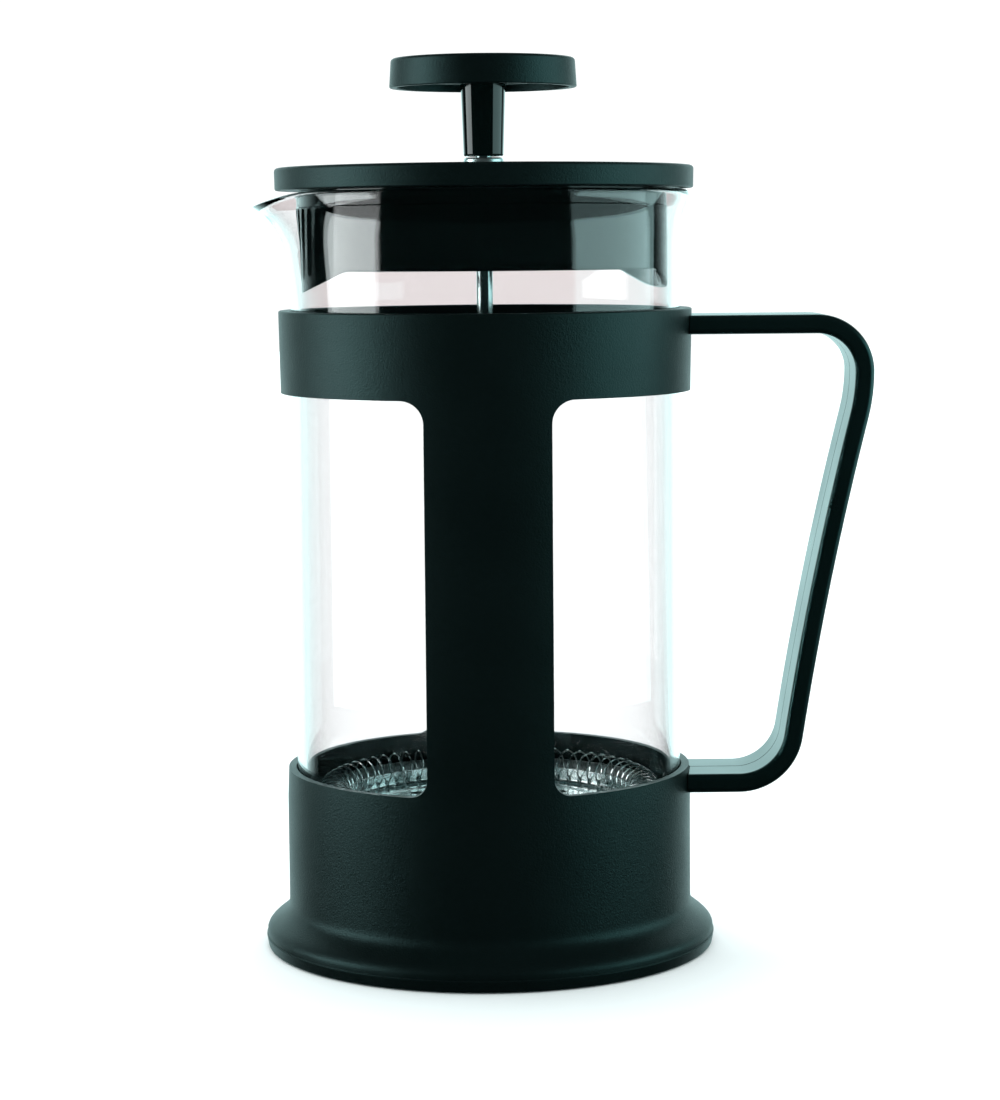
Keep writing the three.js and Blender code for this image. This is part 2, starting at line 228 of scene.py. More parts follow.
def combine(made, operation, shapes):
    """Cuts shapes out of an object, or joins them to it."""
    points, faces = [], []
    for shape_points, shape_faces in shapes:
        start = len(points)
        points.extend(shape_points)
        faces.extend([[start + i for i in face] for face in shape_faces])
    helper = mesh_object("cutter", (points, faces))
    step = made.modifiers.new("combine", "BOOLEAN")
    step.operation = operation
    step.solver = "EXACT"
    step.object = helper
    step.use_self = operation == "UNION"
    settle(made)
    bpy.data.objects.remove(helper)


def round_edges(made, width, sharpest=35):
    """Rounds every edge sharper than an angle."""
    step = made.modifiers.new("edges", "BEVEL")
    step.width = width * MM
    step.segments = 3
    step.limit_method = "ANGLE"
    step.angle_limit = math.radians(sharpest)
    settle(made)


def piece(made, body, material, slot, *nodes):
    """Shades a finished mesh, gives it its material, and lets it stand for its CAD nodes."""
    made.data.materials.clear()
    made.data.materials.append(material)
    made.data.polygons.foreach_set("use_smooth", [True] * len(made.data.polygons))
    made.data.set_sharp_from_angle(angle=math.radians(SMOOTH_BELOW))
    step = made.modifiers.new("normals", "WEIGHTED_NORMAL")
    step.keep_sharp = True
    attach(made, body)
    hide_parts(*nodes)
    return made


def post(x, y, radius, bottom, top, facets=20):
    """An upright round cutter."""
    ring = arc(x, y, radius, 0, 360 - 360 / facets, facets - 1)
    return prism(ring, lambda u, v, end: (u, v, top if end else bottom))


def post_ring(count, circle, radius, bottom, top):
    """Round cutters evenly spaced on a circle."""
    angles = [2 * math.pi * i / count for i in range(count)]
    return [post(circle * math.cos(a), circle * math.sin(a), radius, bottom, top) for a in angles]


# ---- materials ----


class Nodes:
    """Short hand for building one material's node tree."""

    def __init__(self, name):
        self.material = bpy.data.materials.new(name)
        self.material.use_nodes = True
        self.tree = self.material.node_tree
        self.shader = self.tree.nodes["Principled BSDF"]
        self.place = self.add("ShaderNodeTexCoord").outputs["Object"]

    def add(self, kind, **values):
        node = self.tree.nodes.new(kind)
        for name, value in values.items():
            setattr(node, name, value)
        return node

    def link(self, source, target):
        self.tree.links.new(source, target)

    def set(self, **values):
        for name, value in values.items():
            self.shader.inputs[name.replace("_", " ")].default_value = value

    def noise(self, scale, detail=2.0, roughness=0.5, stretch=None):
        """Noise from 0 to 1, with its scale per metre and, if given, a stretch for each axis."""
        node = self.add("ShaderNodeTexNoise")
        node.inputs["Scale"].default_value = scale
        node.inputs["Detail"].default_value = detail
        node.inputs["Roughness"].default_value = roughness
        if stretch:
            mapping = self.add("ShaderNodeMapping")
            mapping.inputs["Scale"].default_value = stretch
            self.link(self.place, mapping.inputs["Vector"])
            self.link(mapping.outputs["Vector"], node.inputs["Vector"])
        else:
            self.link(self.place, node.inputs["Vector"])
        return node.outputs["Fac"]

    def between(self, source, lowest, highest, start=0.3, end=0.7):
        """Spreads a noise, which lies mostly from start to end, over lowest to highest."""
        node = self.add("ShaderNodeMapRange")
        for name, value in zip(("From Min", "From Max", "To Min", "To Max"), (start, end, lowest, highest)):
            node.inputs[name].default_value = value
        self.link(source, node.inputs["Value"])
        return node.outputs["Result"]

    def mixed(self, source, first, second):
        """A colour that goes from first to second as source goes from 0 to 1."""
        node = self.add("ShaderNodeMix", data_type="RGBA")
        colour_a, colour_b, colour_out = 6, 7, 2  # the node has sockets of the same name for other types
        node.inputs[colour_a].default_value = (*first, 1)
        node.inputs[colour_b].default_value = (*second, 1)
        self.link(source, node.inputs["Factor"])
        return node.outputs[colour_out]

    def bump(self, source, depth_mm, strength=1.0):
        node = self.add("ShaderNodeBump")
        node.inputs["Distance"].default_value = depth_mm * MM
        node.inputs["Strength"].default_value = strength
        self.link(source, node.inputs["Height"])
        return node.outputs["Normal"]


def black_plastic(name, roughness, grain_mm, grain_depth, depth_of_black, tint=(0.4, 1.0, 1.0), level=0.5):
    """Black polypropylene with a moulded grain, a little uneven in gloss. Tint and level are the gloss's."""
    darkest, palest, unevenness = (0.0003, 0.0013, 0.0012), (0.0006, 0.002, 0.0019), 0.03
    n = Nodes(name)
    grain = n.noise(1 / (grain_mm * MM), 3, 0.6)
    patches = n.noise(45, 3)
    tones = [[c / depth_of_black for c in tone] for tone in (darkest, palest)]
    n.link(n.mixed(patches, *tones), n.shader.inputs["Base Color"])
    n.link(n.between(patches, roughness - unevenness, roughness + unevenness), n.shader.inputs["Roughness"])
    n.link(n.bump(grain, grain_depth), n.shader.inputs["Normal"])
    n.set(IOR=1.49, Specular_Tint=(*tint, 1), Specular_IOR_Level=level)
    return n.material


def steel(name, roughness, tone=(0.55, 0.66, 0.66), lines=None, lines_depth=0.002):
    """Stainless steel with drawing lines along one direction, or with faint rolling marks."""
    unevenness = 0.06
    n = Nodes(name)
    marks = n.noise(1, 3, 0.6, stretch=lines or (900, 900, 900))
    clouds = n.noise(70, 2)
    n.link(n.mixed(clouds, [c * 0.92 for c in tone], tone), n.shader.inputs["Base Color"])
    n.link(n.between(marks, roughness - unevenness, roughness + unevenness), n.shader.inputs["Roughness"])
    n.link(n.bump(marks, lines_depth), n.shader.inputs["Normal"])
    n.set(Metallic=1.0)
    return n.material


def wire_cloth(name):
    """Woven stainless cloth: crossing wires a third of a millimetre apart, with the openings between them
    painted dark as shade.
    """
    pitch, scale_per_pitch = 0.34 * MM, 0.31
    # the wire's own colour, and painted shade for the openings between the wires
    wire, opening_shade = (0.42, 0.50, 0.50), (0.05, 0.07, 0.07)
    n = Nodes(name)
    waves = []
    for axis in ("X", "Y", "Z"):
        wave = n.add("ShaderNodeTexWave", bands_direction=axis)
        wave.inputs["Scale"].default_value = scale_per_pitch / pitch
        n.link(n.place, wave.inputs["Vector"])
        waves.append(wave.outputs["Fac"])
    crossed = waves[0]
    for other in waves[1:]:
        top = n.add("ShaderNodeMath", operation="MAXIMUM")
        n.link(crossed, top.inputs[0])
        n.link(other, top.inputs[1])
        crossed = top.outputs[0]
    speckle = n.noise(900, 2)
    mix = n.add("ShaderNodeMath", operation="MULTIPLY")
    n.link(crossed, mix.inputs[0])
    n.link(n.between(speckle, 0.4, 1.1), mix.inputs[1])
    # painted shade: the base colour goes dark where the weave dips between the wires
    n.link(n.mixed(mix.outputs[0], opening_shade, wire), n.shader.inputs["Base Color"])
    n.link(n.between(speckle, 0.35, 0.55), n.shader.inputs["Roughness"])
    n.link(n.bump(mix.outputs[0], 0.1), n.shader.inputs["Normal"])
    n.set(Metallic=0.85)
    return n.material


def clear_glass(name):
    """Blown borosilicate glass, very slightly uneven, and greyer where more of it is looked through."""
    n = Nodes(name)
    waver = n.noise(28, 1, 0.4, stretch=(1, 1, 0.35))
    n.link(n.bump(waver, 0.004, 0.3), n.shader.inputs["Normal"])
    n.link(n.mixed(waver, (0.93, 0.905, 0.907), (0.935, 0.91, 0.912)), n.shader.inputs["Base Color"])
    n.set(Roughness=0.0, IOR=1.47, Transmission_Weight=1.0)
    inside = n.add("ShaderNodeVolumeAbsorption")
    inside.inputs["Color"].default_value = (0.33, 0.0, 0.02, 1.0)
    inside.inputs["Density"].default_value = 18.0
    n.link(inside.outputs["Volume"], n.tree.nodes["Material Output"].inputs["Volume"])
    return n.material


def brass(name):
    """Knurled brass, painted darker in the knurl's grooves as shade."""
    n = Nodes(name)
    knurl_and_groove_shade = n.noise(1, 2, stretch=(1500, 1500, 300))
    # painted shade: the brass is coloured darker where the knurl's bump is lowest
    n.link(n.mixed(knurl_and_groove_shade, (0.42, 0.29, 0.1), (0.6, 0.43, 0.17)), n.shader.inputs["Base Color"])
    n.link(n.bump(knurl_and_groove_shade, 0.08), n.shader.inputs["Normal"])
    n.set(Metallic=1.0, Roughness=0.3)
    return n.material


TEXTURED_BLACK = black_plastic("textured_black", 0.44, 0.45, 0.1, 0.7, tint=(0.5, 1.0, 1.0), level=0.36)
SATIN_BLACK = black_plastic("satin_black", 0.3, 0.5, 0.006, 0.55)
GLOSS_BLACK = black_plastic("gloss_black", 0.06, 6.0, 0.01, 0.3, tint=(1.0, 1.0, 1.0))
ROD_STEEL = steel("drawn_rod", 0.16, lines=(1800, 1800, 12))
PLATE_STEEL = steel("stamped_sheet", 0.2, tone=(0.78, 0.84, 0.84), lines_depth=0.0006)
SPRING_STEEL = steel("spring_wire", 0.16, tone=(0.84, 0.9, 0.9), lines_depth=0.0004)
NUT_STEEL = steel("turned_nut", 0.28, lines=(60, 60, 2500))
BUSH_STEEL = steel("bush", 0.35, tone=(0.62, 0.74, 0.74))
CLOTH = wire_cloth("wire_cloth")
GLASS = clear_glass("borosilicate")
BRASS = brass("insert_brass")


# ---- frame and handle ----


def flare_r(z):
    """Outline radius of the foot above its lip: a round shoulder, then a wide hollow up to the cup's side."""
    shoulder, flare_top, ledge, hollow = 4.0, 12.4, 0.3, 1.8
    return FRAME_R + (FOOT_R - ledge - FRAME_R) * fade((z - shoulder) / (flare_top - shoulder)) ** hollow


def window_cutter(side):
    """The opening between the struts on one side, drawn from the front."""
    top, bottom, outside = 5.5, 4.2, 70
    outline = [(outside, CUP_TOP)]
    outline += arc(STRUT_HALF + bottom, CUP_TOP + bottom, bottom, 270, 180, 12)
    outline += arc(STRUT_HALF + top, BAND_BOTTOM - top, top, 180, 90, 14)
    outline.append((outside, BAND_BOTTOM))
    return prism(outline, lambda u, v, end: (side * u, outside if end else -outside, v))


def rib(angle):
    """One of the ribs under the floor."""
    start, end, half, top = 11, 54, 0.8, 3.5
    turn = Matrix.Rotation(math.radians(angle), 3, "Z")
    outline = [(start, 0), (end, 0), (end, top), (start, top)]
    return prism(outline, lambda u, v, side: tuple(turn @ Vector((u, half if side else -half, v))))


def make_frame():
    foot_inner, pad, floor_bottom, floor_top, lip = 53.7, 12, 3, GLASS_BOTTOM - GAP, 2.9
    flare_start, flare_step, flare_steps = lip + 0.2, 0.6, 16
    flare = [flare_start + flare_step * i for i in range(flare_steps)]
    corners = [
        (0, 0),
        (pad, 0, 0.4),
        (pad, floor_bottom, 0.8),
        (foot_inner, floor_bottom, 0.8),
        (foot_inner, 0, 0.4),
        (FOOT_R - 0.5, 0, 0.5),
        (FOOT_R, lip - 0.05, 0.22),
        (FOOT_R - 0.32, lip, 0.08),
        *[(flare_r(z), z) for z in flare],
        (FRAME_R, 25),
        (FRAME_R, 38),
        (50.2, CUP_TOP + 0.05),
        (BAND_R, BAND_BOTTOM - 0.05),
        (BAND_TOP_R, BAND_TOP, 0.45),
        (FRAME_BORE_R, BAND_TOP, 0.4),
        (FRAME_BORE_R, floor_top, 1.5),
        (0, floor_top),
    ]
    made = mesh_object("frame_moulding", turned(softened(corners, closed=False), closed=False))
    combine(made, "DIFFERENCE", [window_cutter(-1), window_cutter(1)])
    combine(made, "UNION", [rib(30 + 60 * i) for i in range(6)])
    round_edges(made, 0.3, 50)
    return piece(made, "stand", TEXTURED_BLACK, "frame_plastic", "frame")


def handle_path():
    """Points (x, z, heading) along the middle of the bow; the heading turns clockwise from +X, in radians."""
    moves = [  # length of a straight run, or turn and its radius; and the number of steps
        (35.15, 0, 0, 1),
        (0, 90, 11.75, 30),
        (0, 14, 45, 6),
        (0, -5.2, 893, 16),
        (0, 81.2, 13.65, 28),
        (16.5, 0, 0, 1),
    ]
    start_x = 46.0
    x, z, heading = start_x, high("handle").z - HANDLE_HALF_THICK, 0.0
    path = [(x, z, heading)]
    for run, turn, radius, steps in moves:
        for _ in range(steps):
            half = math.radians(turn / steps / 2)
            length = run or 2 * radius * math.sin(abs(half))
            heading -= half
            x += length * math.cos(heading)
            z += length * math.sin(heading)
            heading -= half
            path.append((x, z, heading))
    return path


def handle_section():
    """The bow's cross-section: rounded, with the mould's parting groove along its inner face."""
    half_width, half_thick, edge = 12, HANDLE_HALF_THICK, 1.55
    groove = 0.16
    corners = [
        (-half_width, half_thick, edge),
        (-half_width, -half_thick, edge),
        (-groove * 1.4, -half_thick),
        (0, -half_thick + groove),
        (groove * 1.4, -half_thick),
        (half_width, -half_thick, edge),
        (half_width, half_thick, edge),
    ]
    return softened(corners)


def make_handle():
    """The bow, its two ends cut to the round of the band and of the cup."""
    path = handle_path()
    clearance = 0.12

    def station(x, z, heading, seat):
        def place(u, v):
            px, pz = x - v * math.sin(heading), z + v * math.cos(heading)
            return (math.sqrt(seat**2 - u**2) if seat else px, u, pz)

        return place

    seats = [BAND_TOP_R + clearance] + [None] * (len(path) - 2) + [FRAME_R + clearance]
    stations = [station(*where, seat) for where, seat in zip(path, seats)]
    made = mesh_object("handle_bow", swept(handle_section(), stations))
    return piece(made, "stand", SATIN_BLACK, "handle_plastic", "handle")


# ---- beaker ----


def pour_lip(x, y, z):
    """Pulls the rim out and down into a spout towards -X, above a soft swell of the wall."""
    reach, drop, spread, root = 6.3, 3.3, 42, 174
    swell_reach, swell_spread, swell_from, swell_to = 1.5, 60, 159, 176
    angle = abs(math.degrees(math.atan2(y, -x)))
    near = fade(angle / spread) ** 1.7
    rise = max(0, (z - root) / (GLASS_TOP - root))
    rounded = 1 - fade((z - swell_from) / (swell_to - swell_from))
    swell = swell_reach * fade(angle / swell_spread) ** 2 * rounded
    pull = reach * near * rise**1.1 + swell * (1 - 0.6 * rise)
    r = math.hypot(x, y)
    if r < 1:
        return (x, y, z)
    return (x * (r + pull) / r, y * (r + pull) / r, z - drop * near * rise**3)


def make_beaker():
    heel, flare_from, flare_height, rim_half = 5, 173, 12.6, 1.15
    rim_mid = (RIM_R + GLASS_R + 0.2) / 2
    levels = (40, 80, 120, 150, 160, 166, 170, flare_from)
    outline = [(0, GLASS_BOTTOM + 0.9), (20, GLASS_BOTTOM + 0.7), (38, GLASS_BOTTOM + 0.15)]
    outline += arc(GLASS_R - heel, GLASS_BOTTOM + heel, heel, 275, 360, 10)
    outline += [(GLASS_R, z) for z in levels]
    shares = (0.15, 0.3, 0.45, 0.6, 0.72, 0.84, 0.94)
    flare = [(GLASS_R + (RIM_R - GLASS_R) * t**2.4, flare_from + flare_height * t) for t in shares]
    outline += flare
    outline += arc(rim_mid, GLASS_TOP - rim_half, rim_half, 0, 180, 10)
    outline += [(r - GLASS_WALL, z) for r, z in reversed(flare)]
    outline += [(BORE_R, z) for z in reversed(levels)]
    outline += arc(BORE_R - heel + 1, GLASS_BOTTOM + heel + 1.6, heel - 1, 0, -88, 8)
    outline += [(20, GLASS_BOTTOM + 2.9), (0, GLASS_BOTTOM + 3.0)]
    made = mesh_object("beaker_glass", turned(outline, 256, closed=False, reshape=pour_lip))
    return piece(made, "beaker", GLASS, "beaker_glass", "beaker")


# ---- lid ----


def make_lid_cover():
    seat, hub_inner, hub_outer, hub_bottom = SKIRT_R + 0.4, 4.3, 8.5, 178
    plate = LID_TOP - 2.7
    corners = [
        (hub_inner, hub_bottom, 0.3),
        (hub_outer, hub_bottom, 0.5),
        (hub_outer, plate, 1),
        (35, plate),
        (35, 186.6, 0.3),
        (36.8, 186.6, 0.3),
        (38.6, 187.4, 0.2),
        (38.6, 188.4, 0.2),
        (37.2, 188.7),
        (37.2, plate),
        (seat, plate),
        (seat, LID_BOTTOM, 0.2),
        (LID_R - 0.1, LID_BOTTOM, 0.5),
        (LID_R, LID_TOP, 0.9),
        (hub_inner, LID_TOP, 0.3),
    ]
    made = mesh_object("lid_disc", turned(softened(corners)))
    return piece(made, "lid", TEXTURED_BLACK, "lid_plastic", "lid_cover")


def skirt_edge(x):
    """Height of the skirt's lower edge: level, and cut on a slope towards both ends into two tongues."""
    spout_start, spout_slope, handle_start, handle_slope, deepest = 35.8, 0.6, 37.4, 0.75, 5
    if x < -spout_start:
        return SKIRT_BOTTOM + spout_slope * (x + spout_start)
    if x > handle_start:
        drop = handle_slope * (x - handle_start)
        return SKIRT_BOTTOM - deepest * math.tanh((drop / deepest) ** 4) ** 0.25
    return SKIRT_BOTTOM


def strainer_slot(angle):
    """A long cutter with round ends, before the lid is turned."""
    half, top, land = 1.5, 184, 3
    bottom = skirt_edge(-SKIRT_R * math.cos(math.radians(angle))) + land
    turn = Matrix.Rotation(math.radians(angle), 3, "Z")
    outline = arc(0, top - half, half, 0, 180, 10) + arc(0, bottom + half, half, 180, 360, 10)
    return prism(outline, lambda u, v, end: tuple(turn @ Vector((-SKIRT_R + (4 if end else -2), u, v))))


def make_lid_skirt():
    inner, flange_inner, flange_bottom, step_z, step = SKIRT_R - 1.8, 37.6, 189, 184.2, 0.25

    def sloped(x, y, z):
        return (x, y, skirt_edge(x) + z - SKIRT_BOTTOM) if z < SKIRT_BOTTOM + 1 else (x, y, z)

    corners = [
        (inner, SKIRT_BOTTOM, 0.3),
        (SKIRT_R - 0.05, SKIRT_BOTTOM, 0.5),
        (SKIRT_R - 0.05, step_z - 3),
        (SKIRT_R - 0.05, step_z, 0.1),
        (SKIRT_R - step, step_z + 0.25, 0.1),
        (SKIRT_R - step, SKIRT_TOP, 0.4),
        (flange_inner, SKIRT_TOP, 0.2),
        (flange_inner, flange_bottom, 0.2),
        (inner, flange_bottom, 0.5),
    ]
    made = mesh_object("strainer_skirt", turned(softened(corners), reshape=sloped))
    combine(made, "DIFFERENCE", [strainer_slot(6 * i) for i in range(-4, 5)])
    round_edges(made, 0.2, 50)
    made.data.transform(Matrix.Rotation(math.radians(LID_TURN), 4, "Z"))
    return piece(made, "lid", GLOSS_BLACK, "skirt_plastic", "lid_skirt")


def make_lid_bush():
    bore, outer, flange, bottom = 2.15, 4, high("lid_bush").x, low("lid_bush").z
    top = high("lid_bush").z
    corners = [
        (bore, bottom, 0.2),
        (outer, bottom, 0.3),
        (outer, LID_TOP + GAP),
        (flange, LID_TOP + GAP),
        (flange, top, 0.7),
        (bore, top, 0.2),
    ]
    made = mesh_object("rod_bush", turned(softened(corners), SMALL_ROUND))
    return piece(made, "lid_carrier", BUSH_STEEL, "bush_steel", "lid_bush")


# ---- knob, stem and rod ----


def make_knob_cap():
    rim, plate, ring_inner, ring_outer = 1.8, KNOB_TOP - 2.6, 15, 17
    corners = [
        (0, plate),
        (ring_inner, plate),
        (ring_inner, KNOB_BOTTOM + 1.6, 0.3),
        (ring_outer, KNOB_BOTTOM + 1.6, 0.3),
        (ring_outer, plate, 0.5),
        (KNOB_R - rim, plate, 0.8),
        (KNOB_R - rim, KNOB_BOTTOM, 0.3),
        (KNOB_R, KNOB_BOTTOM, 0.35),
        (KNOB_R - 0.45, KNOB_TOP - 0.05, 0.9),
        (KNOB_R - 6, KNOB_TOP),
        (0, KNOB_TOP),
    ]
    made = mesh_object("knob_disc", turned(softened(corners, closed=False), closed=False))
    return piece(made, "plunger", TEXTURED_BLACK, "knob_plastic", "knob_cap")


def make_knob_stem():
    bore, bore_top, flange = 3.9, 210.5, 14.5
    corners = [
        (0, bore_top),
        (bore, bore_top),
        (bore, STEM_BOTTOM, 0.1),
        (4.92, STEM_BOTTOM, 0.55),
        (5.45, KNOB_BOTTOM - 0.5),
        (5.6, STEM_TOP - 2, 0.9),
        (flange, STEM_TOP - 2, 0.3),
        (flange, STEM_TOP, 0.3),
        (0, STEM_TOP),
    ]
    made = mesh_object("knob_post", turned(softened(corners, closed=False), SMALL_ROUND, closed=False))
    return piece(made, "plunger", GLOSS_BLACK, "stem_plastic", "knob_stem")


def make_knob_insert():
    bottom, top = low("knob_insert").z, high("knob_insert").z
    bore, outer = ROD_BORE_R, 3.6
    corners = [(bore, bottom, 0.2), (outer, bottom, 0.3), (outer, top, 0.3), (bore, top, 0.2)]
    made = mesh_object("threaded_insert", turned(softened(corners), 48))
    return piece(made, "plunger", BRASS, "insert_brass", "knob_insert")


def make_rod():
    bottom, top = low("plunger_rod").z, high("plunger_rod").z
    corners = [(0, bottom), (ROD_R, bottom, 0.5), (ROD_R, top, 0.5), (0, top)]
    made = mesh_object("plunger_shaft", turned(softened(corners, closed=False), 64, closed=False))
    return piece(made, "plunger", ROD_STEEL, "rod_steel", "plunger_rod")


def make_nut(name, node):
    """A hexagon nut with chamfered corners and a round bore."""
    lowest, highest = low(node), high(node)
    flats = highest.y
    bottom, top, bore = lowest.z, highest.z, ROD_BORE_R
    facets = 72

    def hexagon(x, y, z):
        r = math.hypot(x, y)
        if r < bore + 0.5:
            return (x, y, z)
        angle = math.degrees(math.atan2(y, x)) % 60 - 30
        side = flats / math.cos(math.radians(angle))
        limit = min(side, r)
        return (x * limit / r, y * limit / r, z)

    corner_r = flats / math.cos(math.pi / 6)
    chamfer = corner_r - flats * 1.03
    corners = [
        (bore, bottom, 0.15),
        (corner_r - chamfer, bottom),
        (corner_r, bottom + chamfer * 0.6),
        (corner_r, top - chamfer * 0.6),
        (corner_r - chamfer, top),
        (bore, top, 0.15),
    ]
    made = mesh_object(name, turned(softened(corners), facets, reshape=hexagon))
    return piece(made, "plunger", NUT_STEEL, "nut_steel", node)


# ---- filter pack ----


def rim_holes():
    """Round cutters through the dish's rim, one for each turn of the spring."""
    radius, reach = 0.8, 2
    wall = DISH_R - SHEET / 2
    z = COIL_Z + math.tan(math.radians(MOUTH_ANGLE)) * (wall - COIL_RING_R)
    ring = arc(0, z, radius, 0, 330, 11)
    shapes = []
    for i in range(COIL_TURNS):
        turn = Matrix.Rotation(2 * math.pi * i / COIL_TURNS, 3, "Z")

        def place(u, v, end, turn=turn):
            return tuple(turn @ Vector((wall + (reach if end else -reach), u, v)))

        shapes.append(prism(ring, place))
    return shapes


def make_spiral_plate():
    """A stamped dish with a raised ring in its floor, drain holes, and a hole in its rim for each turn."""
    bore, top, ring = ROD_BORE_R, DISH_Z + SHEET, 0.35
    corners = [
        (bore, DISH_Z),
        (30.4, DISH_Z),
        (31, DISH_Z + ring, 0.4),
        (32, DISH_Z + ring, 0.4),
        (32.6, DISH_Z),
        (DISH_R - 0.9, DISH_Z, 0.8),
        (DISH_R, DISH_Z + 1.2, 0.8),
        (DISH_R, DISH_TOP, 0.2),
        (DISH_R - SHEET, DISH_TOP, 0.2),
        (DISH_R - SHEET, DISH_Z + 1.4, 0.6),
        (DISH_R - 1.2, top, 0.6),
        (32.7, top),
        (32.1, top + ring, 0.3),
        (30.9, top + ring, 0.3),
        (30.3, top),
        (bore, top),
    ]
    made = mesh_object("spring_dish", turned(softened(corners)))
    under, over = DISH_Z - 1, top + 1
    drains = post_ring(8, 14, 2, under, over) + post_ring(16, 26, 2, under, over)
    combine(made, "DIFFERENCE", drains + rim_holes())
    return piece(made, "plunger", PLATE_STEEL, "plate_steel", "spiral_plate")


def make_coil_spring():
    """One endless coil of wire, each turn passing through its hole in the dish's rim."""
    wire, steps_per_turn, sides = 0.25, 22, 7
    steps = COIL_TURNS * steps_per_turn

    def centre(t):
        ring = 2 * math.pi * t / steps
        turn = math.radians(MOUTH_ANGLE) + COIL_TURNS * ring
        r = COIL_RING_R + (COIL_R - wire) * math.cos(turn)
        return Vector((r * math.cos(ring), r * math.sin(ring), COIL_Z + (COIL_R - wire) * math.sin(turn)))

    points, faces = [], []
    for t in range(steps):
        here = centre(t)
        along = (centre(t + 1) - centre(t - 1)).normalized()
        ring = 2 * math.pi * t / steps
        middle = Vector((COIL_RING_R * math.cos(ring), COIL_RING_R * math.sin(ring), COIL_Z))
        out = (here - middle).normalized()
        out = (out - along * out.dot(along)).normalized()
        side = along.cross(out)
        for s in range(sides):
            a = 2 * math.pi * s / sides
            points.append(tuple(here + wire * (math.cos(a) * out + math.sin(a) * side)))
        for s in range(sides):
            k = (s + 1) % sides
            a, b = t * sides, ((t + 1) % steps) * sides
            faces.append([a + s, a + k, b + k, b + s])
    made = mesh_object("spring_coil", (points, faces))
    return piece(made, "plunger", SPRING_STEEL, "spring_steel", "coil_spring")


def make_mesh_filter():
    """A disc of wire cloth, its edge turned up between the spring and the glass."""
    bore, halfway, inner, outer = ROD_BORE_R, 20, COIL_R + 1, COIL_R + 1.4
    outline = [(bore, COIL_Z - outer), (halfway, COIL_Z - outer)]
    outline += arc(COIL_RING_R, COIL_Z, outer, -90, 4, 14)
    outline += arc(COIL_RING_R, COIL_Z, inner, 4, -90, 14)
    outline += [(halfway, COIL_Z - inner), (bore, COIL_Z - inner)]
    made = mesh_object("mesh_disc", turned(outline))
    return piece(made, "plunger", CLOTH, "cloth_steel", "mesh_filter")


def make_cross_plate():
    bore, rim, thick, lip = ROD_BORE_R, 36.8, 0.8, low("cross_plate").z
    bottom = CROSS_TOP - thick
    corners = [
        (bore, bottom, 0.1),
        (rim - thick, bottom, 0.4),
        (rim - thick, lip, 0.2),
        (rim, lip, 0.2),
        (rim, CROSS_TOP, 0.9),
        (bore, CROSS_TOP, 0.1),
    ]
    made = mesh_object("clamp_plate", turned(softened(corners)))
    holes = []
    for count, circle, radius in ((6, 13, 4), (10, 26, 5)):
        holes += post_ring(count, circle, radius, bottom - 4, CROSS_TOP + 1)
    combine(made, "DIFFERENCE", holes)
    return piece(made, "plunger", PLATE_STEEL, "plate_steel", "cross_plate")


# ---- studio ----


def make_floor():
    """A plain pale floor. Mirrored rays pass it, because the world holds what the press reflects."""
    bpy.ops.mesh.primitive_grid_add(size=8, x_subdivisions=2, y_subdivisions=2, location=(0, 0, -0.0002))
    floor = bpy.context.object
    floor.name = "studio_floor"
    n = Nodes("pale_floor")
    n.link(n.mixed(n.noise(6, 2), (0.84, 0.94, 0.945), (0.86, 0.96, 0.965)), n.shader.inputs["Base Color"])
    n.set(Roughness=0.8, Specular_IOR_Level=0.0)
    mirrored = n.add("ShaderNodeMath", operation="GREATER_THAN")
    n.link(n.add("ShaderNodeLightPath").outputs["Glossy Depth"], mirrored.inputs[0])
    mix = n.add("ShaderNodeMixShader")
    n.link(mirrored.outputs[0], mix.inputs[0])
    n.link(n.shader.outputs[0], mix.inputs[1])
    n.link(n.add("ShaderNodeBsdfTransparent").outputs[0], mix.inputs[2])
    n.link(mix.outputs[0], n.tree.nodes["Material Output"].inputs["Surface"])
    floor.data.materials.append(n.material)


def make_flag():
    """A dark arc below the floor, where only mirrored rays see it: the softboxes end half a metre away."""
    radius, thick, bottom, top, reach, steps = 550, 10, -1500, -20, 124, 62
    section = [(radius, bottom), (radius + thick, bottom), (radius + thick, top), (radius, top)]
    angles = [math.radians(-reach + 2 * reach * i / steps) for i in range(steps + 1)]
    stations = [lambda u, v, a=a: (u * math.sin(a), -u * math.cos(a), v) for a in angles]
    flag = mesh_object("studio_flag", swept(section, stations))
    n = Nodes("flag_black")
    n.link(n.mixed(n.noise(6, 2), (0.0, 0.0, 0.0), (0.001, 0.001, 0.001)), n.shader.inputs["Base Color"])
    n.set(Roughness=1.0, Specular_IOR_Level=0.0)
    flag.data.materials.append(n.material)


